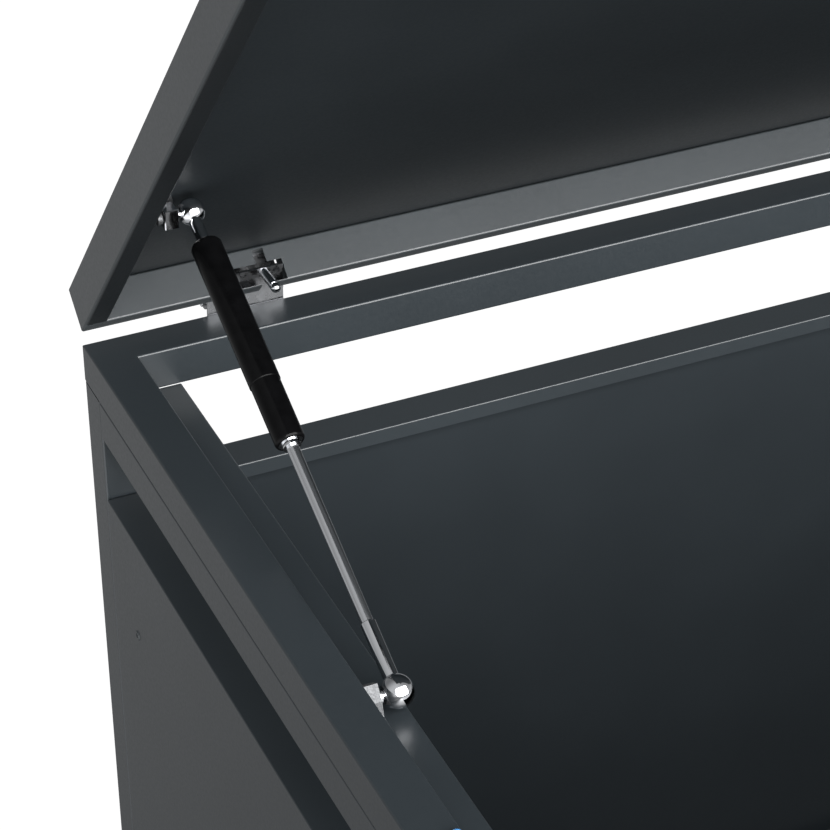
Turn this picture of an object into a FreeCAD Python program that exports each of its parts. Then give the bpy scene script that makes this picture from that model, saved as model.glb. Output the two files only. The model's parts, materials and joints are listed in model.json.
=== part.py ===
import FreeCAD, Part
import math
import os

# Deck storage box: a welded tube frame clad with folded sheet panels, and a sheet lid
# that stands open on two gas struts and two knuckle hinges. Millimetres, +Z up.
# The box is drawn with its lid open. The origin is on the ground, under the middle
# of the open box. Heights in the design are counted from the top of the ring.

V = FreeCAD.Vector
X_AXIS = V(1, 0, 0)
Y_AXIS = V(0, 1, 0)
Z_AXIS = V(0, 0, 1)

# ---- driving dimensions: body ----
LENGTH = 1480.0
DEPTH = 680.0
BODY_HEIGHT = 720.0
TUBE = 30.0
TUBE_WALL = 1.5
EDGE_RADIUS = 1.5
SIDE_SLOT = 51.0
FOOT_HEIGHT = 10.0
FOOT_PLUG = 18.0
BEARER_HEIGHT = 25.0
BEARER_COUNT = 3
FLOOR_SHEET = 1.5
FLOOR_LIP = 12.0

# ---- driving dimensions: panels ----
PANEL_SHEET = 1.0
PANEL_LIP = 12.0
PANEL_GROOVE = 1.5
LINER_RECESS = 8.0
LINER_SHEET = 0.8
STIFFENER_WIDTH = 40.0
SCREW_FROM_SIDE = 50.6
SCREW_FROM_TOP = 85.0
SCREW_HEAD_R = 4.0
SCREW_HEAD_H = 0.8
SCREW_SHANK_R = 2.0
SCREW_SHANK = 5.0

# ---- driving dimensions: lid, drawn closed, then turned open ----
LID_GAP = 2.0
LID_THICK = 32.4
LID_SHEET = 1.2
LID_CORE = 1.6
LID_SIDE_TUBE = 15.5
LID_END_TUBE = 11.4
LID_TUBE_WALL = 1.2
LID_LINER = 0.8
OPEN_DEG = 49.5

# ---- driving dimensions: hinges ----
HINGE_BACK = 8.5
HINGE_UP = 6.7
HINGE_FROM_END = 92.0
HINGE_WIDTH = 57.0
KNUCKLE_COUNT = 5
KNUCKLE_GAP = 0.4
KNUCKLE_R = 6.0
PIN_R = 2.5
RUN_FIT = 0.05
LEAF = 1.5
BODY_LEAF_BAR = 6.7
BODY_LEAF_BAR_DEEP = 0.9
LEAF_CLEAR = 0.3
LEAF_FREE = 0.7
LEAF_TOE = 4.0
LID_LEAF_THICK = 1.2
LID_LEAF_DOWN = 2.4
LID_LEAF_SEAT = 3.0
WINDOW_EDGE = 0.3
WINDOW_CLEAR = 0.6
SLOT_HALF = 4.2
SLOT_CLEAR = 0.6
ARM_R = 3.5
ARM_X_FROM_END = 134.5
ARM_DOWN = 3.6
ARM_REACH = 22.8
ARM_NECK_R = 2.6
ARM_HEAD_R = 3.7
ARM_NECK_LENGTH = 3.0

# ---- driving dimensions: gas struts ----
STRUT_FROM_TUBE = 23.0
LOWER_BALL_BACK = 411.0
UPPER_BALL_BACK = 155.4
UPPER_BALL_DOWN = 12.3
ROD_R = 4.0
BALL_R = 5.0
LOWER_SOCKET_R = 10.7
UPPER_SOCKET_R = 9.1
STUD_NECK_R = 3.0
SOCKET_FLAT = 1.6
ROD_END_R = 5.1
ROD_END_LENGTH = 47.0
TOP_NECK_R = 4.3
TUBE_START = 26.0
SLEEVE_END = 136.0
TUBE_END = 181.0
STRUT_TUBE_R = 9.8
STRUT_BORE_R = 8.0
SLEEVE_R = 10.3
COLLAR_R = 6.0
GLAND_LENGTH = 14.0
PISTON_LENGTH = 10.0
BRACKET_THICK = 10.5
BRACKET_OUTLINE = ((0.5, 9.9), (-6.3, 1.4), (-9.5, -8.0), (-9.5, -12.0), (8.0, -12.0), (8.0, 5.0))
KITE_FROM_BALL = 15.0
UPPER_PLATE = 1.2
LUG_FROM_BALL = 20.6
LUG_THICK = 3.0
LUG_R = 4.2
STUD_CLEAR = 0.6
STUD_BLOCK_WIDE = 9.7
STUD_BLOCK_DEEP = 12.0
STUD_BLOCK_TALL = 14.0

# ---- driving dimensions: guide buttons ----
GUIDE_R = 4.3
GUIDE_FROM_FLANGE = 4.0
GUIDE_FROM_FRONT = 128.0

# ---- worked out ----
HALF = LENGTH / 2
SIDE_RAIL_WIDTH = 2 * TUBE
FOOT_SIDE = TUBE - 2.0
PANEL_THICK = TUBE
RING_LOW = -TUBE
RAIL_LOW = RING_LOW - TUBE
PANEL_TOP = RAIL_LOW - SIDE_SLOT
GROUND = -BODY_HEIGHT
POST_LOW = GROUND + FOOT_HEIGHT
FLOOR_TOP = POST_LOW + TUBE
PANEL_LOW = FLOOR_TOP + PANEL_GROOVE
LID_LOW = LID_GAP
LID_TOP = LID_LOW + LID_THICK
LID_CEILING = LID_TOP - LID_SHEET - LID_CORE - LID_LINER
HINGE_LEFT = -HALF + HINGE_FROM_END
KNUCKLE = HINGE_WIDTH / KNUCKLE_COUNT
BODY_LEAF_DROP = TUBE - 2.0
LID_LEAF_FRONT = HINGE_BACK - KNUCKLE_R - LEAF_CLEAR
LID_LEAF_TOP = LID_TOP - LID_LEAF_DOWN
BODY_LEAF_RISE = LID_LEAF_TOP - LID_LEAF_SEAT - LEAF_FREE
ARM_UP = BODY_LEAF_RISE - ARM_DOWN
SLOT_HIGH = ARM_UP + ARM_R + SLOT_CLEAR
ARM_X = -HALF + ARM_X_FROM_END
LEAF_BACK = LEAF_CLEAR + LEAF
BAR_FRONT = LEAF_CLEAR - BODY_LEAF_BAR_DEEP
SWEEP_R = math.hypot(HINGE_BACK - BAR_FRONT, BODY_LEAF_RISE - HINGE_UP) + WINDOW_CLEAR
STRUT_FROM_END = TUBE + STRUT_FROM_TUBE
STRUT_X = -HALF + STRUT_FROM_END
LOWER_BALL_DROP = TUBE / 2
UPPER_BALL_RISE = LID_CEILING - UPPER_BALL_DOWN
LUG_FACE = STRUT_FROM_END - LUG_FROM_BALL
KITE_LEFT = STRUT_FROM_END - KITE_FROM_BALL
GUIDE_BACK = DEPTH - GUIDE_FROM_FRONT
OPEN = math.radians(OPEN_DEG)
# The lid's rim has to end below the line where the upright plate comes through it when open.
LEAF_OUT = HINGE_BACK - LEAF_CLEAR
PLATE_CROSSES = (HINGE_BACK - LEAF_OUT * math.cos(OPEN)) / math.tan(OPEN)
WINDOW_LOW = HINGE_UP - LEAF_OUT * math.sin(OPEN) + PLATE_CROSSES - WINDOW_EDGE


def turned(back, rise):
    """Where a point of the closed lid, given from the hinge axis, goes when it is open."""
    y = back * math.cos(OPEN) + rise * math.sin(OPEN)
    z = rise * math.cos(OPEN) - back * math.sin(OPEN)
    return y + HINGE_BACK, z + HINGE_UP


REAR_MOST = turned(LID_LEAF_FRONT + LID_LEAF_THICK - HINGE_BACK, LID_LEAF_TOP - HINGE_UP)[0]
SHIFT_Y = (DEPTH + SCREW_HEAD_H - REAR_MOST) / 2

TOP_Y, TOP_Z = turned(-UPPER_BALL_BACK - HINGE_BACK, UPPER_BALL_RISE - HINGE_UP)
STRUT_RUN = TOP_Y + LOWER_BALL_BACK
STRUT_RISE = TOP_Z + LOWER_BALL_DROP
STRUT_LENGTH = math.hypot(STRUT_RUN, STRUT_RISE)
STRUT_DEG = math.degrees(math.atan2(STRUT_RISE, STRUT_RUN))
SHUT_RUN = LOWER_BALL_BACK - UPPER_BALL_BACK
SHUT_RISE = UPPER_BALL_RISE + LOWER_BALL_DROP
SHUT_LENGTH = math.hypot(SHUT_RUN, SHUT_RISE)
SHUT_DEG = math.degrees(math.atan2(SHUT_RISE, SHUT_RUN))
PISTON_AT = STRUT_LENGTH - TUBE_END + GLAND_LENGTH + 2.0


# ---- small helpers ----
def block(x0, x1, y0, y1, z0, z1):
    return Part.makeBox(x1 - x0, y1 - y0, z1 - z0, V(x0, y0, z0))


def rod(radius, start, end):
    """A round bar from one point to another."""
    way = end - start
    return Part.makeCylinder(radius, way.Length, start, way)


def group(shapes):
    return Part.makeCompound(shapes)


def joined(shapes):
    return shapes[0].fuse(shapes[1:]).removeSplitter()


def soften(shape, axis, radius):
    """Round the straight edges that run along one axis."""
    edges = []
    for edge in shape.Edges:
        way = edge.Vertexes[1].Point - edge.Vertexes[0].Point
        if abs(way.normalize().dot(axis)) > 0.999:
            edges.append(edge)
    return shape.makeFillet(radius, edges)


def long_tube(x0, x1, y0, y1, z0, z1, axis, wall):
    """A rectangular tube, rounded along its length, open at both ends."""
    outer = soften(block(x0, x1, y0, y1, z0, z1), axis, EDGE_RADIUS)
    in_x = 0 if axis == X_AXIS else wall
    in_y = 0 if axis == Y_AXIS else wall
    in_z = 0 if axis == Z_AXIS else wall
    inner = block(x0 + in_x, x1 - in_x, y0 + in_y, y1 - in_y, z0 + in_z, z1 - in_z)
    return outer.cut(inner)


def wedge(corners, z0, z1):
    """An upright prism on a flat outline."""
    points = [V(x, y, z0) for x, y in corners]
    face = Part.Face(Part.makePolygon(points + [points[0]]))
    return face.extrude(V(0, 0, z1 - z0))


def mirrored(shape):
    return shape.mirror(V(0, 0, 0), X_AXIS)


def both(shape):
    return [shape, mirrored(shape)]


def open_lid(shape):
    """Turn a piece that was drawn on the closed lid to where it stands open."""
    moved = shape.copy()
    moved.rotate(V(0, HINGE_BACK, HINGE_UP), X_AXIS, -OPEN_DEG)
    return moved


# ---- ring on top of the body ----
def ring_end_rail(front):
    y0 = -DEPTH if front else -TUBE
    rail = long_tube(-HALF, HALF, y0, y0 + TUBE, RING_LOW, 0, X_AXIS, TUBE_WALL)
    outer_y = -DEPTH if front else 0
    inner_y = -DEPTH + TUBE if front else -TUBE
    mitre = [(-HALF, outer_y), (HALF, outer_y), (HALF - TUBE, inner_y), (-HALF + TUBE, inner_y)]
    rail = rail.common(wedge(mitre, RING_LOW, 0))
    if front:
        return rail
    return rail.cut(group(body_leaf_screws()))


def ring_side_rail():
    rail = long_tube(-HALF, -HALF + TUBE, -DEPTH, 0, RING_LOW, 0, Y_AXIS, TUBE_WALL)
    inner_x = -HALF + TUBE
    mitre = [(-HALF, -DEPTH), (inner_x, -DEPTH + TUBE), (inner_x, -TUBE), (-HALF, 0)]
    return rail.common(wedge(mitre, RING_LOW, 0)).cut(group(left_frame_bolts()))


# ---- side frames ----
def post(front):
    y0 = -DEPTH if front else -TUBE
    return long_tube(-HALF, -HALF + TUBE, y0, y0 + TUBE, POST_LOW, RING_LOW, Z_AXIS, TUBE_WALL)


def side_top_rail():
    x1 = -HALF + SIDE_RAIL_WIDTH
    rail = long_tube(-HALF, x1, -DEPTH + TUBE, -TUBE, RAIL_LOW, RING_LOW, Y_AXIS, TUBE_WALL)
    return rail.cut(group(left_frame_bolts()))


def side_bottom_rail():
    x1 = -HALF + TUBE
    return long_tube(-HALF, x1, -DEPTH + TUBE, -TUBE, POST_LOW, FLOOR_TOP, Y_AXIS, TUBE_WALL)


def end_bottom_rail(front):
    y0 = -DEPTH if front else -TUBE
    x1 = HALF - TUBE
    return long_tube(-x1, x1, y0, y0 + TUBE, POST_LOW, FLOOR_TOP, X_AXIS, TUBE_WALL)


def left_frame_bolts():
    """Bolts up through the side rail into the ring."""
    head_r, head_h, shank_r, reach = 5.0, 4.0, 3.0, 8.0
    bolts = []
    for share in (0.15, 0.5, 0.85):
        at = V(-HALF + TUBE / 2, -DEPTH * share, RAIL_LOW)
        head = rod(head_r, at - V(0, 0, head_h), at)
        shank = rod(shank_r, at, at + V(0, 0, TUBE + reach))
        bolts.append(joined([head, shank]))
    return bolts


def foot(x, y):
    inside = TUBE - 2 * TUBE_WALL - 0.4
    base = soften(
        block(x - FOOT_SIDE / 2, x + FOOT_SIDE / 2, y - FOOT_SIDE / 2, y + FOOT_SIDE / 2, GROUND, POST_LOW),
        Z_AXIS, 3.0)
    r = inside / 2
    plug = block(x - r, x + r, y - r, y + r, POST_LOW, POST_LOW + FOOT_PLUG)
    return joined([base, plug])


def feet():
    x = HALF - TUBE / 2
    places = [(sx * x, y) for sx in (-1, 1) for y in (-TUBE / 2, -DEPTH + TUBE / 2)]
    return group([foot(px, py) for px, py in places])


# ---- floor ----
def floor_panel():
    x = HALF - TUBE - 1.0
    sheet = block(-x, x, -DEPTH + TUBE + 1.0, -TUBE - 1.0, FLOOR_TOP - FLOOR_SHEET, FLOOR_TOP)
    low = FLOOR_TOP - FLOOR_LIP
    lip = block(-x, -x + FLOOR_SHEET, -DEPTH + TUBE + 1.0, -TUBE - 1.0, low, FLOOR_TOP)
    return joined([sheet] + both(lip))


def floor_bearers():
    top = FLOOR_TOP - FLOOR_SHEET
    pitch = (LENGTH - 2 * TUBE) / (BEARER_COUNT + 1)
    bars = []
    for i in range(BEARER_COUNT):
        x = -HALF + TUBE + pitch * (i + 1)
        bars.append(long_tube(x - TUBE / 2, x + TUBE / 2, -DEPTH + TUBE, -TUBE,
                              top - BEARER_HEIGHT, top, Y_AXIS, TUBE_WALL))
    return group(bars)


# ---- panels: drawn with the outer face on X = 0 and the width along Y, then placed ----
def cassette(width, height):
    """A folded sheet tray with a return lip round its open inner side."""
    outer = block(0, PANEL_THICK, 0, width, 0, height)
    outer = outer.makeFillet(PANEL_SHEET * 0.9, outer.Edges)
    s = PANEL_SHEET
    hollow = block(s, PANEL_THICK - s, s, width - s, s, height - s)
    mouth = block(s, PANEL_THICK + 1, PANEL_LIP, width - PANEL_LIP, PANEL_LIP, height - PANEL_LIP)
    return outer.cut(hollow.fuse(mouth)).cut(group(tray_screws(width, height)))


def tray_screws(width, height):
    screws = []
    for y in (SCREW_FROM_SIDE - PANEL_GROOVE, width - SCREW_FROM_SIDE + PANEL_GROOVE):
        for z in (SCREW_FROM_TOP, height - SCREW_FROM_TOP):
            head = rod(SCREW_HEAD_R, V(-SCREW_HEAD_H, y, z), V(0, y, z))
            shank = rod(SCREW_SHANK_R, V(0, y, z), V(SCREW_SHANK, y, z))
            screws.append(joined([head, shank]))
    return screws


def tray_liner(width, height):
    x1 = PANEL_THICK - LINER_RECESS
    s = PANEL_SHEET + 0.5
    return block(x1 - LINER_SHEET, x1, s, width - s, s, height - s)


def tray_stiffeners(width, height):
    """Two upright channels between the outer sheet and the liner, behind the screws."""
    x1 = PANEL_THICK - LINER_RECESS - LINER_SHEET
    s = PANEL_SHEET
    bars = []
    for y in (SCREW_FROM_SIDE - PANEL_GROOVE, width - SCREW_FROM_SIDE + PANEL_GROOVE):
        half = STIFFENER_WIDTH / 2
        bar = block(s, x1, y - half, y + half, s + 1, height - s - 1)
        hollow = block(2 * s, x1, y - half + s, y + half - s, s + 1, height - s - 1)
        bars.append(bar.cut(hollow).cut(group(tray_screws(width, height))))
    return bars


def on_side(shape):
    """Place a tray on the left side of the body."""
    placed = shape.copy()
    placed.translate(V(-HALF, -DEPTH + TUBE + PANEL_GROOVE, PANEL_LOW))
    return placed


def on_rear(shape):
    """Place a tray on the rear of the body."""
    placed = shape.copy()
    placed.rotate(V(0, 0, 0), Z_AXIS, -90)
    placed.translate(V(-HALF + TUBE + PANEL_GROOVE, 0, PANEL_LOW))
    return placed


def on_front(shape):
    """Place a tray on the front of the body."""
    placed = on_rear(shape)
    placed.rotate(V(0, -DEPTH / 2, 0), Z_AXIS, 180)
    return placed


def side_width():
    return DEPTH - 2 * TUBE - 2 * PANEL_GROOVE


def end_width():
    return LENGTH - 2 * TUBE - 2 * PANEL_GROOVE


def panel_height():
    return PANEL_TOP - PANEL_LOW


def all_places(maker):
    """The left, right, rear and front copies of one panel piece, in that order."""
    height = panel_height()
    left = on_side(group(maker(side_width(), height)))
    end = group(maker(end_width(), height))
    return [left, mirrored(left), on_rear(end), on_front(end)]


# ---- lid, drawn closed ----
def lid_window():
    """The opening in the lid's rear flange that the body leaf and its arm swing through."""
    x0, x1 = HINGE_LEFT - WINDOW_CLEAR, HINGE_LEFT + HINGE_WIDTH + WINDOW_CLEAR
    sweep = rod(SWEEP_R, V(x0, HINGE_BACK, HINGE_UP), V(x1, HINGE_BACK, HINGE_UP))
    y0 = -LID_SHEET - LID_END_TUBE - 1
    wide = sweep.common(block(x0, x1, y0, 1, WINDOW_LOW, LID_TOP))
    slot = block(ARM_X - SLOT_HALF, ARM_X + SLOT_HALF, y0, 1, LID_LOW - 1, SLOT_HIGH)
    return wide.fuse(slot)


def lid_skin():
    outer = block(-HALF, HALF, -DEPTH, 0, LID_LOW, LID_TOP)
    outer = soften(soften(outer, Z_AXIS, EDGE_RADIUS), X_AXIS, EDGE_RADIUS)
    s = LID_SHEET
    hollow = block(-HALF + s, HALF - s, -DEPTH + s, -s, LID_LOW - 1, LID_TOP - s)
    return outer.cut(hollow).cut(group(both(lid_window())))


def lid_side_tube():
    x0 = -HALF + LID_SHEET
    y0, y1 = -DEPTH + LID_SHEET + LID_END_TUBE, -LID_SHEET - LID_END_TUBE
    return long_tube(x0, x0 + LID_SIDE_TUBE, y0, y1, LID_LOW, LID_CEILING, Y_AXIS, LID_TUBE_WALL)


def lid_end_tube(front):
    y0 = -DEPTH + LID_SHEET if front else -LID_SHEET - LID_END_TUBE
    x1 = HALF - LID_SHEET
    tube = long_tube(-x1, x1, y0, y0 + LID_END_TUBE, LID_LOW, LID_CEILING, X_AXIS, LID_TUBE_WALL)
    if front:
        return tube
    return tube.cut(group(both(lid_window())))


def lid_liner():
    x1 = HALF - LID_SHEET
    top = LID_CEILING + LID_LINER
    sheet = block(-x1, x1, -DEPTH + LID_SHEET, -LID_SHEET, LID_CEILING, top)
    return sheet.cut(group(both(group(upper_bracket_screws()))))


def lid_core():
    x1 = HALF - LID_SHEET
    low = LID_CEILING + LID_LINER
    return block(-x1, x1, -DEPTH + LID_SHEET, -LID_SHEET, low, LID_TOP - LID_SHEET)


# ---- hinges ----
def knuckles(numbers, bore):
    """Barrel pieces of the left hinge, on the hinge axis."""
    rings = []
    for i in numbers:
        start = V(HINGE_LEFT + i * KNUCKLE + KNUCKLE_GAP / 2, HINGE_BACK, HINGE_UP)
        end = start + V(KNUCKLE - KNUCKLE_GAP, 0, 0)
        rings.append(rod(KNUCKLE_R, start, end).cut(rod(bore, start, end)))
    return rings


def knuckle_span(number):
    """Where one knuckle starts and ends on X."""
    start = HINGE_LEFT + number * KNUCKLE + KNUCKLE_GAP / 2
    return start, start + KNUCKLE - KNUCKLE_GAP


def hinge_ends():
    return V(HINGE_LEFT, HINGE_BACK, HINGE_UP), V(HINGE_LEFT + HINGE_WIDTH, HINGE_BACK, HINGE_UP)


def hinge_body_leaf():
    """The upright plate on the ring's rear face, with a raised bar along its top."""
    x0, x1 = HINGE_LEFT, HINGE_LEFT + HINGE_WIDTH
    bar_low = BODY_LEAF_RISE - BODY_LEAF_BAR
    pieces = [
        block(x0, x1, 0, LEAF_BACK, -BODY_LEAF_DROP, -LEAF_CLEAR),
        block(x0, x1, LEAF_CLEAR, LEAF_BACK, -LEAF_CLEAR, BODY_LEAF_RISE),
        block(x0, x1, BAR_FRONT, LEAF_CLEAR, bar_low, BODY_LEAF_RISE),
    ]
    for number in (1, 3):
        w0, w1 = knuckle_span(number)
        pieces.append(block(w0, w1, LEAF_BACK, HINGE_BACK, -LEAF_TOE, HINGE_UP - PIN_R))
    bored = joined(pieces).cut(rod(PIN_R, *hinge_ends()))
    return joined([bored] + knuckles((1, 3), PIN_R)).cut(group(body_leaf_screws()))


def hinge_lid_leaf():
    """The leaf behind the upright plate, welded to the lid along its top edge."""
    x0, x1 = HINGE_LEFT, HINGE_LEFT + HINGE_WIDTH
    back = LID_LEAF_FRONT + LID_LEAF_THICK
    low = HINGE_UP + KNUCKLE_R + LEAF_CLEAR
    pieces = [
        block(x0, x1, LID_LEAF_FRONT, back, low, LID_LEAF_TOP),
        block(x0, x1, 0, LID_LEAF_FRONT, LID_LEAF_TOP - LID_LEAF_SEAT, LID_LEAF_TOP),
    ]
    for number in (0, 2, 4):
        w0, w1 = knuckle_span(number)
        pieces.append(block(w0, w1, LID_LEAF_FRONT, back, HINGE_UP, low))
    bored = joined(pieces).cut(rod(KNUCKLE_R - LEAF_CLEAR, *hinge_ends()))
    return joined([bored] + knuckles((0, 2, 4), PIN_R + RUN_FIT))


def hinge_pin():
    start = V(HINGE_LEFT - 0.5, HINGE_BACK, HINGE_UP)
    end = V(HINGE_LEFT + HINGE_WIDTH + 0.5, HINGE_BACK, HINGE_UP)
    caps = [rod(PIN_R + 1.2, start - V(1.5, 0, 0), start), rod(PIN_R + 1.2, end, end + V(1.5, 0, 0))]
    return joined([rod(PIN_R, start, end)] + caps)


def hinge_arm():
    """The round arm on the upright plate that reaches forward through the lid's window."""
    neck_end = V(ARM_X, -ARM_REACH, ARM_UP)
    neck_start = neck_end + V(0, ARM_NECK_LENGTH, 0)
    reach = rod(ARM_R, V(ARM_X, BAR_FRONT, ARM_UP), neck_start)
    neck = rod(ARM_NECK_R, neck_start, neck_end)
    head = Part.makeSphere(ARM_HEAD_R, neck_end)
    return joined([reach, neck, head])


def leaf_screw(x, y, z, reach):
    head = rod(3.0, V(x, y, z), V(x, y + 1.5, z))
    return joined([head, rod(1.6, V(x, y - reach, z), V(x, y, z))])


def body_leaf_screws():
    screws = []
    for x in (HINGE_LEFT + 8, HINGE_LEFT + HINGE_WIDTH - 8):
        screws += both(leaf_screw(x, LEAF_BACK, -10.0, 6.0))
        screws += both(leaf_screw(x, LEAF_BACK, -21.0, 6.0))
    return screws


# ---- gas struts: drawn from the lower ball along +Y, then swung and placed ----
def strut_place(shape):
    placed = shape.copy()
    placed.rotate(V(0, 0, 0), X_AXIS, STRUT_DEG)
    placed.translate(V(STRUT_X, -LOWER_BALL_BACK, -LOWER_BALL_DROP))
    return placed


def from_top(distance):
    """A distance from the upper ball, as a distance from the lower one."""
    return STRUT_LENGTH - distance


def bar(radius, y0, y1):
    return rod(radius, V(0, y0, 0), V(0, y1, 0))


def socket(y, radius):
    """A ball socket, open to the side that its stud comes from."""
    ball = Part.makeSphere(radius, V(0, y, 0))
    mouth = rod(STUD_NECK_R + 0.6, V(-radius - 1, y, 0), V(0, y, 0))
    flat = block(-radius - 1, -radius + SOCKET_FLAT, y - radius, y + radius, -radius, radius)
    return ball.cut(mouth).cut(flat)


def socket_end(y, radius, shank):
    """A socket and its shank, hollowed for the ball."""
    seat = Part.makeSphere(BALL_R + RUN_FIT, V(0, y, 0))
    return strut_place(joined([socket(y, radius), shank]).cut(seat))


def strut_rod():
    tail = Part.makeCylinder(ROD_R, PISTON_AT - ROD_END_LENGTH, V(0, ROD_END_LENGTH, 0), Y_AXIS)
    return strut_place(tail)


def strut_rod_end():
    shank = bar(ROD_END_R, LOWER_SOCKET_R - 2, ROD_END_LENGTH)
    shank = shank.makeChamfer(0.6, [shank.Edges[0]])
    return socket_end(0, LOWER_SOCKET_R, shank)


def strut_piston():
    y0 = PISTON_AT
    return strut_place(bar(STRUT_BORE_R - RUN_FIT, y0, y0 + PISTON_LENGTH))


def strut_tube():
    y0, y1 = from_top(TUBE_END), from_top(TUBE_START)
    shell = bar(STRUT_TUBE_R, y0, y1)
    shell = shell.makeFillet(2.5, [e for e in shell.Edges if e.Closed and e.Length > 6 * STRUT_TUBE_R])
    return strut_place(shell.cut(bar(STRUT_BORE_R, y0, y1 - 8)).cut(bar(TOP_NECK_R, y1 - 8, y1)))


def strut_sleeve():
    y0, y1 = from_top(SLEEVE_END), from_top(TUBE_START) - 2.5
    ring = bar(SLEEVE_R, y0, y1)
    ring = ring.makeChamfer(0.4, [e for e in ring.Edges if e.Closed])
    return strut_place(ring.cut(bar(STRUT_TUBE_R, y0, y1)))


def strut_gland():
    y0 = from_top(TUBE_END)
    body = bar(STRUT_BORE_R, y0 + 0.5, y0 + GLAND_LENGTH)
    collar = bar(COLLAR_R, y0 - 2.5, y0 + 0.5)
    return strut_place(joined([body, collar]).cut(bar(ROD_R + RUN_FIT, y0 - 3, y0 + GLAND_LENGTH)))


def strut_top_end():
    y1 = STRUT_LENGTH
    return socket_end(y1, UPPER_SOCKET_R, bar(TOP_NECK_R, from_top(TUBE_START) - 8, y1 - UPPER_SOCKET_R + 2))


def ball_stud(reach):
    """A ball and its neck, reaching back to a plane at minus reach on X."""
    ball = Part.makeSphere(BALL_R, V(0, 0, 0))
    neck = rod(STUD_NECK_R, V(-reach, 0, 0), V(0, 0, 0))
    return joined([ball, neck])


def strut_top_stud():
    """The upper ball with its square block, just clear of the lug on the lid."""
    far = LUG_FACE + STUD_CLEAR - STRUT_FROM_END
    deep, tall = STUD_BLOCK_DEEP / 2, STUD_BLOCK_TALL / 2
    base = block(far, far + STUD_BLOCK_WIDE, -deep, deep, -tall, tall)
    base = base.makeChamfer(0.6, base.Edges)
    stud = joined([base, ball_stud(-far - STUD_BLOCK_WIDE + 1)])
    stud.translate(V(STRUT_X, TOP_Y, TOP_Z))
    return stud


def strut_bracket():
    """The faceted block on the ring's inner face that carries the lower ball stud."""
    x0 = -HALF + TUBE
    y, z = -LOWER_BALL_BACK, -LOWER_BALL_DROP
    points = [V(x0, y + dy, z + dz) for dy, dz in BRACKET_OUTLINE]
    return Part.Face(Part.makePolygon(points + [points[0]])).extrude(V(BRACKET_THICK, 0, 0))


def strut_lower_stud():
    """The lower ball, its neck and the collar that sits on the block."""
    reach = STRUT_FROM_END - TUBE - BRACKET_THICK
    collar = rod(STUD_NECK_R + 1.8, V(-reach, 0, 0), V(-LOWER_SOCKET_R - 0.3, 0, 0))
    stud = joined([ball_stud(reach), collar])
    stud.translate(V(STRUT_X, -LOWER_BALL_BACK, -LOWER_BALL_DROP))
    return stud


def upper_bracket():
    """The kite-shaped plate under the lid's ceiling and the lug that carries the stud."""
    y, z = -UPPER_BALL_BACK, UPPER_BALL_RISE
    lug_x = LUG_FACE - LUG_THICK
    outline = [(lug_x, y - LUG_R), (KITE_LEFT, y - LUG_R), (KITE_LEFT, y - 8), (KITE_LEFT + 3, y - 8),
               (KITE_LEFT + 10, y + 14), (KITE_LEFT + 18, y + 31), (KITE_LEFT + 16, y + 45),
               (KITE_LEFT, y + 42), (KITE_LEFT, y + LUG_R), (lug_x, y + LUG_R)]
    plate = wedge([(-HALF + px, py) for px, py in outline], LID_CEILING - UPPER_PLATE, LID_CEILING)
    x0, x1 = -HALF + lug_x, -HALF + LUG_FACE
    hanger = block(x0, x1, y - LUG_R, y + LUG_R, z, LID_CEILING - UPPER_PLATE)
    boss = rod(LUG_R, V(x0, y, z), V(x1, y, z))
    return joined([plate, hanger, boss]).cut(group(upper_bracket_screws()))


def upper_bracket_screws():
    """Countersunk screws, flush with the plate, up into the lid's inner sheet."""
    low = LID_CEILING - UPPER_PLATE
    screws = []
    for dx, dy in ((5, 8), (10, 34)):
        at = V(-HALF + KITE_LEFT + dx, -UPPER_BALL_BACK + dy, low)
        cone = Part.makeCone(2.6, 1.5, 1.1, at, Z_AXIS)
        screws.append(joined([cone, rod(1.5, at, at + V(0, 0, UPPER_PLATE + LID_LINER))]))
    return screws


# ---- guide buttons for the lid ----
def guide_button():
    x = -HALF + LID_SHEET + LID_SIDE_TUBE + GUIDE_FROM_FLANGE + GUIDE_R
    dome = Part.makeSphere(GUIDE_R, V(x, -GUIDE_BACK, 0))
    y0, y1 = -GUIDE_BACK - GUIDE_R, -GUIDE_BACK + GUIDE_R
    return dome.common(block(x - GUIDE_R, x + GUIDE_R, y0, y1, 0, GUIDE_R))


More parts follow.
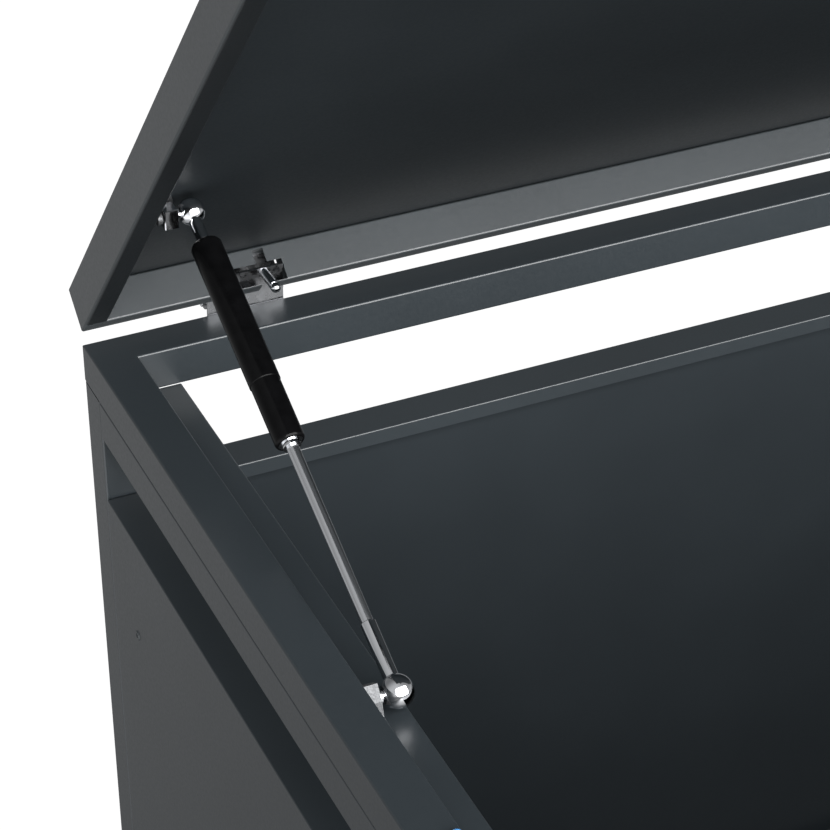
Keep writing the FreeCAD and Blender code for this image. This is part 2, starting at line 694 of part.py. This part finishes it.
def build():
    """Every node of the box, by name, before it is moved to the origin."""
    nodes = {
        "ring_rear_rail": ring_end_rail(False),
        "ring_front_rail": ring_end_rail(True),
        "floor_panel": floor_panel(),
        "floor_bearers": floor_bearers(),
        "rear_bottom_rail": end_bottom_rail(False),
        "front_bottom_rail": end_bottom_rail(True),
        "feet": feet(),
        "frame_screws": group(body_leaf_screws() + both(group(left_frame_bolts()))),
        "hinge_body_leaves": group(both(hinge_body_leaf())),
        "hinge_pins": group(both(hinge_pin())),
        "hinge_arms": group(both(hinge_arm())),
        "strut_lower_brackets": group(both(strut_bracket())),
        "strut_lower_studs": group(both(strut_lower_stud())),
        "lid_guide_buttons": group(both(guide_button())),
    }
    sides = {
        "ring_side_rail": ring_side_rail(),
        "front_post": post(True),
        "rear_post": post(False),
        "side_top_rail": side_top_rail(),
        "side_bottom_rail": side_bottom_rail(),
        "strut_rod": strut_rod(),
        "strut_rod_end": strut_rod_end(),
        "strut_piston": strut_piston(),
        "strut_tube": strut_tube(),
        "strut_sleeve": strut_sleeve(),
        "strut_gland": strut_gland(),
        "strut_top_end": strut_top_end(),
        "strut_top_stud": strut_top_stud(),
    }
    for name, shape in sides.items():
        nodes["left_" + name] = shape
        nodes["right_" + name] = mirrored(shape)
    places = ("left", "right", "rear", "front")
    for place, tray in zip(places, all_places(lambda w, h: [cassette(w, h)])):
        nodes[place + "_panel"] = tray
    for place, sheet in zip(places, all_places(lambda w, h: [tray_liner(w, h)])):
        nodes[place + "_liner"] = sheet
    nodes["panel_stiffeners"] = group(all_places(tray_stiffeners))
    nodes["panel_screws"] = group(all_places(tray_screws))
    lid = {
        "lid_skin": lid_skin(),
        "lid_liner": lid_liner(),
        "lid_core": lid_core(),
        "lid_left_tube": lid_side_tube(),
        "lid_right_tube": mirrored(lid_side_tube()),
        "lid_rear_tube": lid_end_tube(False),
        "lid_front_tube": lid_end_tube(True),
        "hinge_lid_leaves": group(both(hinge_lid_leaf())),
        "strut_upper_brackets": group(both(upper_bracket())),
        "lid_screws": group(both(group(upper_bracket_screws()))),
    }
    for name, shape in lid.items():
        nodes[name] = open_lid(shape)
    return nodes


def report_frame():
    """The joint places and travels, in the box's own frame."""
    print("hinge axis y, z:", round(HINGE_BACK + SHIFT_Y, 4), round(HINGE_UP + BODY_HEIGHT, 4))
    print("lower ball x, y, z:", STRUT_X, round(SHIFT_Y - LOWER_BALL_BACK, 4), BODY_HEIGHT - LOWER_BALL_DROP)
    print("strut angle open, shut:", round(STRUT_DEG, 4), round(SHUT_DEG, 4))
    print("strut length open, shut:", round(STRUT_LENGTH, 4), round(SHUT_LENGTH, 4))
    print("rear most, shift:", round(REAR_MOST, 4), round(SHIFT_Y, 4))


def main():
    os.makedirs("parts", exist_ok=True)
    nodes = build()
    for name, shape in nodes.items():
        placed = shape.copy()
        placed.translate(V(0, SHIFT_Y, BODY_HEIGHT))
        placed.exportStep("parts/" + name + ".step")
        print(name, len(placed.Solids), round(placed.Volume), placed.isValid())
    print(len(nodes), "nodes")
    report_frame()


main()
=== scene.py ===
# %% [markdown]
# A garden storage box with a welded tube frame and a tray lid on two gas struts. This
# file only adds what the eye wants: finishes, small fasteners, light and a camera.

# %% Load the engineered model
import json
import math

import bpy
from mathutils import Matrix, Vector


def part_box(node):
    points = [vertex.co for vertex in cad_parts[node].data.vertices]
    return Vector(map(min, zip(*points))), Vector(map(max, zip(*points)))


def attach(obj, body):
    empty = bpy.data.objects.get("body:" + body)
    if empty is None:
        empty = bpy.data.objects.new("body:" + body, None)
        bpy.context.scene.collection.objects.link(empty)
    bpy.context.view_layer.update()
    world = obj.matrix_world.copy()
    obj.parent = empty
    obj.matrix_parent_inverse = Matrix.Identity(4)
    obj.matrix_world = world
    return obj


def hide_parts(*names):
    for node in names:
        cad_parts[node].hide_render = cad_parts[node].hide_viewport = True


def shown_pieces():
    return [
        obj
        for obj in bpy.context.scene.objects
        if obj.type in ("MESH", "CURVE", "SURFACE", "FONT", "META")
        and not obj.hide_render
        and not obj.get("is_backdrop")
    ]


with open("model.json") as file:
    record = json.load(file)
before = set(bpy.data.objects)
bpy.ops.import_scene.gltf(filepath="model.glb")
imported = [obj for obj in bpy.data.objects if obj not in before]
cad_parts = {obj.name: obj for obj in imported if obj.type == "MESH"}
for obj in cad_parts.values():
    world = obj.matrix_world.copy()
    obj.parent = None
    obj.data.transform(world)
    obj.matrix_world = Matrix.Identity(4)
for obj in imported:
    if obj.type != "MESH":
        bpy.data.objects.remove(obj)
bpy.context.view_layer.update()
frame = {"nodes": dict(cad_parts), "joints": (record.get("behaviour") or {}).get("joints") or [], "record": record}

NODES = frame["nodes"]

# %% [markdown]
# The lid stands open at rest, so anything drawn square to the lid has to be turned by the
# same angle. Reading the angle and the hinge line from the record keeps both models alike.

# %% Hinge line, lid angle and the strut's line
MM = 0.001
joints = {joint["name"]: joint for joint in frame["joints"]}
HINGE = Vector(joints["lid_hinge"]["pos_m"])
OPEN = math.radians(joints["lid_hinge"]["range_deg"][1])
LID_TURN = Matrix.Rotation(-OPEN, 3, "X")
LID_UP = LID_TURN @ Vector((0, 0, 1))
STRUT_UP = -Vector(joints["left_strut_slide"]["axis"]).normalized()
RING_LOW, RING_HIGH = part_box("left_ring_side_rail")
REAR_CORNER = Vector((RING_LOW[0], RING_HIGH[1], RING_HIGH[2]))
print("lid open by", round(math.degrees(OPEN), 2), "rear corner", REAR_CORNER)

# %% [markdown]
# The camera comes first. It looks down over the left end of the box at the raised lid, from
# well back with a long lens, which keeps upright lines almost parallel.

# %% Camera
CAMERA_FROM_CORNER = Vector((-0.452, -1.549, 1.020))
LOOK = Vector((0.342433, 0.754767, -0.559524))
LENS = 119.7


def make_camera():
    data = bpy.data.cameras.new("camera")
    data.lens = LENS
    data.sensor_width = 36
    data.dof.use_dof = False
    camera = bpy.data.objects.new("camera", data)
    camera.location = REAR_CORNER + CAMERA_FROM_CORNER
    camera.rotation_mode = "QUATERNION"
    camera.rotation_quaternion = LOOK.to_track_quat("-Z", "Y")
    bpy.context.scene.collection.objects.link(camera)
    bpy.context.scene.camera = camera
    return camera


camera = make_camera()
print("camera at", camera.location)

# %% [markdown]
# Finishes are small node trees. One helper starts a tree and hands back its shader, and a
# second adds a node and wires it, so that each finish reads as a short list of steps.

# %% Node helpers
def start_material(name, base, rough, metal=0.0):
    """A material with one Principled shader. Values that never vary sit on its sockets."""
    material = bpy.data.materials.new(name)
    material.use_nodes = True
    tree = material.node_tree
    shader = tree.nodes["Principled BSDF"]
    shader.inputs["Base Color"].default_value = (*base, 1)
    shader.inputs["Roughness"].default_value = rough
    shader.inputs["Metallic"].default_value = metal
    return material, tree, shader


def add(tree, kind, links=(), **values):
    """Adds a node, sets inputs by name, and links (output socket, input name) pairs."""
    node = tree.nodes.new(kind)
    for name, value in values.items():
        socket = name.replace("_", " ")
        if socket in node.inputs:
            node.inputs[socket].default_value = value
        else:
            setattr(node, name, value)
    for output, name in links:
        tree.links.new(output, node.inputs[name])
    return node


def object_place(tree, stretch=(1, 1, 1), turn=(0, 0, 0)):
    """Object coordinates, stretched or turned to lie along a grain."""
    place = add(tree, "ShaderNodeTexCoord")
    mapping = add(tree, "ShaderNodeMapping", [(place.outputs["Object"], "Vector")])
    mapping.inputs["Scale"].default_value = stretch
    mapping.inputs["Rotation"].default_value = turn
    return mapping.outputs["Vector"]


def noise(tree, place, scale, detail=2.0):
    node = add(tree, "ShaderNodeTexNoise", [(place, "Vector")], Scale=scale, Detail=detail)
    return node.outputs["Fac"]


def spread(tree, source, low, high, start=0.3, end=0.7):
    """Maps a 0 to 1 pattern to a range of values."""
    node = add(tree, "ShaderNodeMapRange", [(source, "Value")])
    node.inputs["From Min"].default_value = start
    node.inputs["From Max"].default_value = end
    node.inputs["To Min"].default_value = low
    node.inputs["To Max"].default_value = high
    return node.outputs["Result"]


def tint(tree, source, dark, light):
    """Mixes two colours by a pattern."""
    ramp = add(tree, "ShaderNodeValToRGB", [(source, "Fac")])
    ramp.color_ramp.elements[0].position = 0.3
    ramp.color_ramp.elements[0].color = (*dark, 1)
    ramp.color_ramp.elements[1].position = 0.7
    ramp.color_ramp.elements[1].color = (*light, 1)
    return ramp.outputs["Color"]


def relief(tree, shader, source, strength, distance):
    """Turns a pattern into small bumps on the shader."""
    bump = add(tree, "ShaderNodeBump", [(source, "Height")])
    bump.inputs["Strength"].default_value = strength
    bump.inputs["Distance"].default_value = distance
    tree.links.new(bump.outputs["Normal"], shader.inputs["Normal"])


print("helpers ready")

# %% [markdown]
# The sheets and tubes are powder coated in anthracite. The powder melts into a fine orange
# peel, about a millimetre from bump to bump, with faint cloudiness over a hand's width.
# Noise in object space gives both, and it runs across joints without a seam. The inner sheets
# and the lid's ceiling have a duller coat than the faces that are seen from outside. Their base
# colours carry painted light as well: the lid's outside is painted lighter for the light it
# catches, the inner liners darker as painted shade inside the box, and the lid's ceiling
# lighter as painted light in place of the front lamp that is kept off it.

# %% Powder coat
def powder_coat(name, base, rough, peel, gloss=0.9):
    material, tree, shader = start_material(name, base, rough)
    place = object_place(tree)
    cloud = noise(tree, place, 9, 3)
    dark = [value * 0.93 for value in base]
    light = [value * 1.07 for value in base]
    tree.links.new(tint(tree, cloud, dark, light), shader.inputs["Base Color"])
    grain = noise(tree, place, 420, 2)
    tree.links.new(spread(tree, grain, rough - 0.03, rough + 0.04), shader.inputs["Roughness"])
    relief(tree, shader, noise(tree, place, 950, 2), peel, 0.0002)
    shader.inputs["Specular IOR Level"].default_value = gloss
    return material


FRAME_COAT = powder_coat("frame_coat", (0.0215, 0.0270, 0.0310), 0.34, 0.06)
PANEL_COAT = powder_coat("panel_coat", (0.0215, 0.0270, 0.0310), 0.36, 0.07)
# The lid's base is painted lighter than the frame's: painted light for the light its faces catch.
PAINTED_LIGHT_LID_COAT = powder_coat("lid_coat", (0.0340, 0.0395, 0.0430), 0.37, 0.07)
# The liner's base is painted darker than the panels': painted shade inside the box.
PAINTED_SHADE_LINER_COAT = powder_coat("painted_shade_liner_coat", (0.0170, 0.0210, 0.0240), 0.46, 0.07, 0.15)
# The ceiling's base is painted lighter than the lid's outside: painted light in place of the front lamp kept off
# it.
PAINTED_LIGHT_CEILING_COAT = powder_coat("painted_light_ceiling_coat", (0.0470, 0.0560, 0.0620), 0.46, 0.07, 0.15)
print("powder coats", FRAME_COAT.name, PANEL_COAT.name, PAINTED_LIGHT_LID_COAT.name, PAINTED_SHADE_LINER_COAT.name)

# %% [markdown]
# Chrome, plated steel and ground rod differ mostly in roughness and in the marks left by the
# wheel. The rod is drawn through its die, so its faint marks run along it: the noise is
# stretched along the strut's line.

# %% Bright metals
STRUT_LEAN = math.atan2(STRUT_UP.z, STRUT_UP.y)


def chrome(name, base, rough):
    material, tree, shader = start_material(name, base, rough, metal=1.0)
    place = object_place(tree)
    smear = noise(tree, place, 160, 4)
    tree.links.new(spread(tree, smear, rough * 0.6, rough * 1.7), shader.inputs["Roughness"])
    relief(tree, shader, noise(tree, place, 500, 2), 0.03, 0.0001)
    return material


def drawn_metal(name, base, rough):
    """Faint marks that run along a bar lying on the strut's line."""
    material, tree, shader = start_material(name, base, rough, metal=1.0)
    turned = object_place(tree, turn=(-STRUT_LEAN, 0, 0))
    fine = add(tree, "ShaderNodeMapping", [(turned, "Vector")])
    fine.inputs["Scale"].default_value = (900, 12, 900)
    marks = noise(tree, fine.outputs["Vector"], 1, 2)
    dark = [value * 0.92 for value in base]
    tree.links.new(tint(tree, marks, dark, base), shader.inputs["Base Color"])
    tree.links.new(spread(tree, marks, rough * 0.85, rough * 1.2), shader.inputs["Roughness"])
    relief(tree, shader, marks, 0.02, 0.0001)
    return material


def plated(name, base, rough, scale):
    """A dull plated surface with a fine crystal speckle."""
    material, tree, shader = start_material(name, base, rough, metal=0.85)
    place = object_place(tree)
    cells = add(tree, "ShaderNodeTexVoronoi", [(place, "Vector")], Scale=scale)
    dark = [value * 0.72 for value in base]
    tree.links.new(tint(tree, cells.outputs["Distance"], dark, base), shader.inputs["Base Color"])
    grain = noise(tree, place, 500)
    tree.links.new(spread(tree, grain, rough - 0.08, rough + 0.1), shader.inputs["Roughness"])
    relief(tree, shader, cells.outputs["Distance"], 0.15, 0.0001)
    return material


CHROME = chrome("bright_chrome", (0.80, 0.81, 0.83), 0.07)
HINGE_SATIN = chrome("hinge_satin", (0.29, 0.295, 0.305), 0.24)
DRAWN_ROD = drawn_metal("drawn_rod", (0.74, 0.75, 0.77), 0.22)
BRACKET = plated("bracket_plate", (0.15, 0.153, 0.158), 0.52, 900)
ZINC = plated("zinc_fastener", (0.56, 0.57, 0.58), 0.34, 1400)
MILL = plated("mill_sheet", (0.60, 0.61, 0.62), 0.45, 300)
print("metals", CHROME.name, DRAWN_ROD.name, BRACKET.name)

# %% [markdown]
# The strut's cylinder is lacquered black. A thin clear coat over a dark base gives the long
# highlight, and very faint ripples keep it from looking like glass. The guide buttons take
# the same recipe in blue. The feet and the foam have a fine moulded grain.

# %% Lacquer, rubber and plastics
def lacquer(name, base, rough, gloss):
    material, tree, shader = start_material(name, base, rough)
    place = object_place(tree)
    ripple = noise(tree, place, 120, 3)
    dark = [value * 0.8 for value in base]
    light = [value * 1.25 for value in base]
    tree.links.new(tint(tree, ripple, dark, light), shader.inputs["Base Color"])
    polish = noise(tree, place, 600)
    tree.links.new(spread(tree, polish, rough * 0.8, rough * 1.3), shader.inputs["Roughness"])
    shader.inputs["Specular IOR Level"].default_value = gloss
    shader.inputs["Coat Weight"].default_value = gloss / 3
    shader.inputs["Coat Roughness"].default_value = 0.06
    relief(tree, shader, ripple, 0.02, 0.0002)
    return material


def moulded(name, base, rough, scale):
    """Plastic or rubber with a fine spark-eroded grain."""
    material, tree, shader = start_material(name, base, rough)
    place = object_place(tree)
    grain = noise(tree, place, scale, 3)
    dark = [value * 0.85 for value in base]
    light = [min(1, value * 1.15) for value in base]
    tree.links.new(tint(tree, grain, dark, light), shader.inputs["Base Color"])
    tree.links.new(spread(tree, grain, rough - 0.05, rough + 0.08), shader.inputs["Roughness"])
    relief(tree, shader, grain, 0.12, 0.0002)
    return material


STRUT_BLACK = lacquer("strut_lacquer", (0.0022, 0.0022, 0.0024), 0.20, 0.10)
GLIDE = moulded("glide_plastic", (0.022, 0.022, 0.024), 0.5, 1100)
FOAM = moulded("foam_core", (0.70, 0.69, 0.65), 0.8, 700)
BUTTON_BLUE = lacquer("button_blue", (0.09, 0.34, 0.80), 0.12, 0.5)
print("plastics", STRUT_BLACK.name, GLIDE.name, BUTTON_BLUE.name)

# %% [markdown]
# Each engineered piece keeps its own shape and takes a finish. A table from the record's
# slot to the finish means that a piece can't be forgotten.

# %% Finishes for the engineered pieces
FINISH = {
    "frame_coat": FRAME_COAT, "panel_coat": PANEL_COAT, "lid_coat": PAINTED_LIGHT_LID_COAT,
    "screw_coat": PANEL_COAT, "bare_metal": MILL, "foot_plastic": GLIDE,
    "fastener_steel": ZINC, "bright_chrome": CHROME, "bracket_steel": BRACKET,
    "rod_steel": DRAWN_ROD, "strut_black": STRUT_BLACK, "foam_core": FOAM,
    "blue_button": BUTTON_BLUE,
}
SLOT_OF = {part["node"]: part["material_slot"] for part in frame["record"]["subparts"]}


def finish_node(name, material):
    slots = NODES[name].material_slots
    if not slots:
        NODES[name].data.materials.append(material)
    for one in slots:
        one.material = material


for name in NODES:
    finish_node(name, FINISH[SLOT_OF[name]])
for name in ("hinge_body_leaves", "hinge_lid_leaves"):
    finish_node(name, HINGE_SATIN)
for name in ("left_liner", "right_liner", "rear_liner", "front_liner"):
    finish_node(name, PAINTED_SHADE_LINER_COAT)
finish_node("lid_liner", PAINTED_LIGHT_CEILING_COAT)
print("finished", len(NODES), "pieces")

# %% [markdown]
# Button-head screws repeat on every panel, so a node tree makes them. It takes points that
# carry an aim, builds one head with a six-sided recess, and copies it to each point. A
# different tree input gives the hinge screws, the frame bolts and the bracket's flush screws.

# %% One tree for every screw head
SCREW_INPUTS = ("Head Radius", "Top Radius", "Head Height", "Recess Radius", "Recess Depth")
HEX_TURN = math.radians(60)
CUTTER_LONG = 0.02
HEAD_SIDES = 40


def screw_tree():
    tree = bpy.data.node_groups.new("screw_heads", "GeometryNodeTree")
    face = tree.interface
    face.new_socket("Geometry", in_out="INPUT", socket_type="NodeSocketGeometry")
    for label in SCREW_INPUTS:
        face.new_socket(label, in_out="INPUT", socket_type="NodeSocketFloat")
    face.new_socket("Seed", in_out="INPUT", socket_type="NodeSocketInt")
    face.new_socket("Finish", in_out="INPUT", socket_type="NodeSocketMaterial")
    face.new_socket("Geometry", in_out="OUTPUT", socket_type="NodeSocketGeometry")
    given = add(tree, "NodeGroupInput").outputs
    head = add(tree, "GeometryNodeMeshCone", [(given["Head Radius"], "Radius Bottom"),
               (given["Top Radius"], "Radius Top"), (given["Head Height"], "Depth")], Vertices=HEAD_SIDES)
    hexagon = add(tree, "GeometryNodeMeshCylinder", [(given["Recess Radius"], "Radius")],
                  Vertices=6, Depth=CUTTER_LONG)
    floor_of_recess = add(tree, "ShaderNodeMath", [(given["Head Height"], 0), (given["Recess Depth"], 1)],
                          operation="SUBTRACT")
    middle = add(tree, "ShaderNodeMath", [(floor_of_recess.outputs[0], 0)], operation="ADD")
    middle.inputs[1].default_value = CUTTER_LONG / 2
    lift = add(tree, "ShaderNodeCombineXYZ", [(middle.outputs[0], "Z")])
    cutter = add(tree, "GeometryNodeTransform",
                 [(hexagon.outputs["Mesh"], "Geometry"), (lift.outputs[0], "Translation")])
    cut = add(tree, "GeometryNodeMeshBoolean",
              [(head.outputs["Mesh"], "Mesh 1"), (cutter.outputs["Geometry"], "Mesh 2")],
              operation="DIFFERENCE")
    aim = add(tree, "GeometryNodeInputNamedAttribute", data_type="FLOAT_VECTOR")
    aim.inputs["Name"].default_value = "aim"
    facing = add(tree, "FunctionNodeAlignRotationToVector", [(aim.outputs["Attribute"], "Vector")], axis="Z")
    copies = add(tree, "GeometryNodeInstanceOnPoints",
                 [(given["Geometry"], "Points"), (cut.outputs[0], "Instance"),
                  (facing.outputs["Rotation"], "Rotation")])
    chance = add(tree, "FunctionNodeRandomValue", [(given["Seed"], "Seed")], data_type="FLOAT")
    chance.inputs[3].default_value = HEX_TURN
    spin = add(tree, "ShaderNodeCombineXYZ", [(chance.outputs[1], "Z")])
    turned = add(tree, "GeometryNodeRotateInstances",
                 [(copies.outputs[0], "Instances"), (spin.outputs[0], "Rotation")])
    real = add(tree, "GeometryNodeRealizeInstances", [(turned.outputs[0], "Geometry")])
    painted = add(tree, "GeometryNodeSetMaterial",
                  [(real.outputs[0], "Geometry"), (given["Finish"], "Material")])
    add(tree, "NodeGroupOutput", [(painted.outputs[0], "Geometry")])
    return tree


SCREW_TREE = screw_tree()
print("screw tree inputs", [item.name for item in SCREW_TREE.interface.items_tree])

# %% [markdown]
# The tree is run through a modifier, and the result is kept as a plain mesh. Each head is
# then part of one piece that rides with the body it is screwed into.

# %% Run the tree and keep the mesh
SEED = 7


def screw_heads(name, spots, sizes, finish, body, *nodes):
    """Heads at (place, aim) spots, as one mesh on one body."""
    mesh = bpy.data.meshes.new(name + "_spots")
    mesh.from_pydata([spot for spot, aim in spots], [], [])
    aims = mesh.attributes.new("aim", "FLOAT_VECTOR", "POINT")
    for index, (spot, aim) in enumerate(spots):
        aims.data[index].vector = aim
    piece = bpy.data.objects.new(name, mesh)
    bpy.context.scene.collection.objects.link(piece)
    modifier = piece.modifiers.new("heads", "NODES")
    modifier.node_group = SCREW_TREE
    values = dict(zip(SCREW_INPUTS, [size * MM for size in sizes]))
    values.update({"Seed": SEED, "Finish": finish})
    for item in SCREW_TREE.interface.items_tree:
        if item.name in values:
            modifier[item.identifier] = values[item.name]
    evaluated = piece.evaluated_get(bpy.context.evaluated_depsgraph_get())
    made = bpy.data.meshes.new_from_object(evaluated)
    piece.modifiers.remove(modifier)
    piece.data = made
    made.name = name
    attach(piece, body)
    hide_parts(*nodes)
    print(name, len(spots), "heads,", len(made.polygons), "faces")
    return piece


# %% [markdown]
# The panel screws sit 49 mm in from a panel's sides and 85 mm from its top and bottom. They
# are painted with the panel, so only the recess and a thin ring of light show them.

# %% Panel screws
PANEL_IN = 49.1 * MM
PANEL_DOWN = 85 * MM
PANEL_HEAD = (4.0, 3.3, 0.8, 1.9, 0.6)


def panel_spots(name, across, outward):
    """The four screws of one panel: across is the axis it spans, outward the way it faces."""
    low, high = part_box(name)
    through = 1 - across
    spots = []
    for along in (low[across] + PANEL_IN, high[across] - PANEL_IN):
        for up in (low.z + PANEL_DOWN, high.z - PANEL_DOWN):
            spot = Vector((0, 0, up))
            spot[across] = along
            spot[through] = low[through] if outward < 0 else high[through]
            aim = Vector((0, 0, 0))
            aim[through] = outward
            spots.append((spot, aim))
    return spots


panel_places = panel_spots("left_panel", 1, -1) + panel_spots("right_panel", 1, 1)
panel_places += panel_spots("rear_panel", 0, 1) + panel_spots("front_panel", 0, -1)
panel_heads = screw_heads("panel_screw_heads", panel_places, PANEL_HEAD,
                          PANEL_COAT, "frame", "panel_screws")

# %% [markdown]
# The hinge plates are held by four small screws each behind the ring, the side rails are
# bolted up into the ring from below, and the strut plates hang from the lid's inner sheet by
# two flush screws. The same tree makes all three with other sizes.

# %% Hinge, frame and bracket screws
LEAF_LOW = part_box("hinge_body_leaves")[0]
HINGE_WIDE = 57 * MM
SCREW_IN = 8 * MM
LEAF_THICK = 1.8 * MM
SCREW_ROWS = (10 * MM, 21 * MM)
HINGE_HEAD = (3.0, 2.4, 1.5, 1.4, 0.9)


def both_ends(x, y, z, aim):
    """A spot and its mirror image at the other end of the box."""
    return [(Vector((side * x, y, z)), Vector(aim)) for side in (-1, 1)]


hinge_places = []
for inward in (SCREW_IN, HINGE_WIDE - SCREW_IN):
    for down in SCREW_ROWS:
        back = REAR_CORNER.y + LEAF_THICK
        hinge_places += both_ends(-LEAF_LOW.x - inward, back, REAR_CORNER.z - down, (0, 1, 0))
hinge_heads = screw_heads("hinge_screw_heads", hinge_places, HINGE_HEAD,
                          ZINC, "frame", "frame_screws")

rail_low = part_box("left_side_top_rail")[0]
BOLT_SHARES = (0.15, 0.5, 0.85)
BOLT_IN = 15 * MM
BOLT_HEAD = (5.0, 4.5, 4.0, 2.4, 2.4)
bolt_places = []
for share in BOLT_SHARES:
    y = REAR_CORNER.y + (RING_LOW[1] - REAR_CORNER.y) * share
    bolt_places += both_ends(-REAR_CORNER.x - BOLT_IN, y, rail_low.z, (0, 0, -1))
frame_bolts = screw_heads("frame_bolt_heads", bolt_places, BOLT_HEAD,
                          ZINC, "frame", "frame_screws")


def lid_point(x, back, up):
    """A point given on the closed lid from the ring's rear corner, moved to the open lid."""
    flat = REAR_CORNER + Vector((0, -back, up)) - HINGE
    spot = LID_TURN @ Vector((0, flat.y, flat.z)) + HINGE
    spot.x = x
    return spot


BRACKET_SCREWS = ((43, 147.4), (48, 121.4))
BRACKET_FACE = 29.55 * MM
BRACKET_HEAD = (2.6, 2.2, 0.3, 1.0, 0.2)
bracket_places = []
for inward, back in BRACKET_SCREWS:
    for side in (-1, 1):
        x = side * (-REAR_CORNER.x - inward * MM)
        bracket_places.append((lid_point(x, back * MM, BRACKET_FACE), -LID_UP))
bracket_heads = screw_heads("bracket_screw_heads", bracket_places, BRACKET_HEAD,
                            ZINC, "lid", "lid_screws")

# %% [markdown]
# The floor is a plain pale sheet. It glows a little, so that it stays white behind the box,
# and it is left out of reflections, which come from the sky alone.

# %% Floor
FLOOR_REACH = 60
FLOOR_GLOW = 0.95


def make_floor():
    mesh = bpy.data.meshes.new("floor")
    corners = [(x * FLOOR_REACH, y * FLOOR_REACH, 0) for x, y in ((-1, -1), (1, -1), (1, 1), (-1, 1))]
    mesh.from_pydata(corners, [], [(0, 1, 2, 3)])
    floor = bpy.data.objects.new("floor", mesh)
    material, tree, shader = start_material("floor_white", (0.35, 0.35, 0.35), 0.9)
    shader.inputs["Specular IOR Level"].default_value = 0.1
    shader.inputs["Emission Color"].default_value = (1, 1, 1, 1)
    shader.inputs["Emission Strength"].default_value = FLOOR_GLOW
    mesh.materials.append(material)
    bpy.context.scene.collection.objects.link(floor)
    floor.visible_glossy = False
    floor.visible_diffuse = False
    floor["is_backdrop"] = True
    return floor


floor = make_floor()
print("floor", floor.dimensions)

# %% [markdown]
# A product studio hides its lights from the lens and puts bright cards in front of the box.
# Here the camera sees plain white, while the coat sees a sky that is bright towards the
# front, dimmer behind, dim to the right and underfoot, and darkest high at the back. That
# darkens upward faces, as the room behind the box would, and leaves the forward edges with a
# line of light.

# %% Sky and lamps
SKY_FRONT, SKY_BACK = 1.30, 0.40
SKY_HIGH = 0.42
SKY_RIGHT = 0.55
SKY_UNDER = 0.35


def sky_ramp(tree, source, start, end, low, high):
    node = add(tree, "ShaderNodeMapRange", [(source, "Value")], interpolation_type="SMOOTHSTEP")
    for label, value in (("From Min", start), ("From Max", end), ("To Min", low), ("To Max", high)):
        node.inputs[label].default_value = value
    return node.outputs["Result"]


def make_sky():
    world = bpy.data.worlds.new("studio")
    world.use_nodes = True
    tree = world.node_tree
    seen = tree.nodes["Background"]
    seen.inputs["Color"].default_value = (1, 1, 1, 1)
    seen.inputs["Strength"].default_value = 1.0
    way = add(tree, "ShaderNodeTexCoord")
    parts = add(tree, "ShaderNodeSeparateXYZ", [(way.outputs["Generated"], "Vector")])
    depth = sky_ramp(tree, parts.outputs["Y"], -0.3, 0.7, SKY_FRONT, SKY_BACK)
    height = sky_ramp(tree, parts.outputs["Z"], -0.3, 0.4, 1.0, SKY_HIGH)
    across = sky_ramp(tree, parts.outputs["X"], -0.2, 0.5, 1.0, SKY_RIGHT)
    upright = add(tree, "ShaderNodeMath", [(depth, 0), (height, 1)], operation="MULTIPLY")
    under = sky_ramp(tree, parts.outputs["Z"], -0.8, -0.5, SKY_UNDER, 1.0)
    sideways = add(tree, "ShaderNodeMath", [(upright.outputs[0], 0), (across, 1)], operation="MULTIPLY")
    level = add(tree, "ShaderNodeMath", [(sideways.outputs[0], 0), (under, 1)], operation="MULTIPLY")
    glow = add(tree, "ShaderNodeBackground", [(level.outputs[0], "Strength")])
    glow.inputs["Color"].default_value = (0.97, 0.985, 1.0, 1)
    ray = add(tree, "ShaderNodeLightPath")
    mixed = add(tree, "ShaderNodeMixShader", [(ray.outputs["Is Camera Ray"], 0),
                (glow.outputs[0], 1), (seen.outputs[0], 2)])
    tree.links.new(mixed.outputs[0], tree.nodes["World Output"].inputs["Surface"])
    bpy.context.scene.world = world


def make_lamp(name, place, target, size, power):
    data = bpy.data.lights.new(name, "AREA")
    data.shape = "RECTANGLE"
    data.size, data.size_y = size
    data.energy = power
    lamp = bpy.data.objects.new(name, data)
    lamp.location = place
    lamp.rotation_mode = "QUATERNION"
    lamp.rotation_quaternion = (Vector(target) - Vector(place)).to_track_quat("-Z", "Y")
    bpy.context.scene.collection.objects.link(lamp)
    return lamp


# The front softbox is kept off the lid's underside, which faces it. A black card would do
# that in a studio, and light linking does it here.
FLAGGED = ("lid_liner", "lid_left_tube", "lid_right_tube")


def flag_off(lamp, names):
    """Lets a lamp reach every piece but the named ones."""
    lit = bpy.data.collections.new(lamp.name + "_reach")
    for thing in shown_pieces():
        if thing.name not in names:
            lit.objects.link(thing)
    lamp.light_linking.receiver_collection = lit


make_sky()
front = make_lamp("front_softbox", (0.4, -3.7, 2.9), (0, 0.3, 0.8), (7.0, 5.0), 780)
flag_off(front, FLAGGED)
bpy.context.scene.view_settings.view_transform = "Standard"
bpy.context.scene.view_settings.look = "None"
print("stage ready")
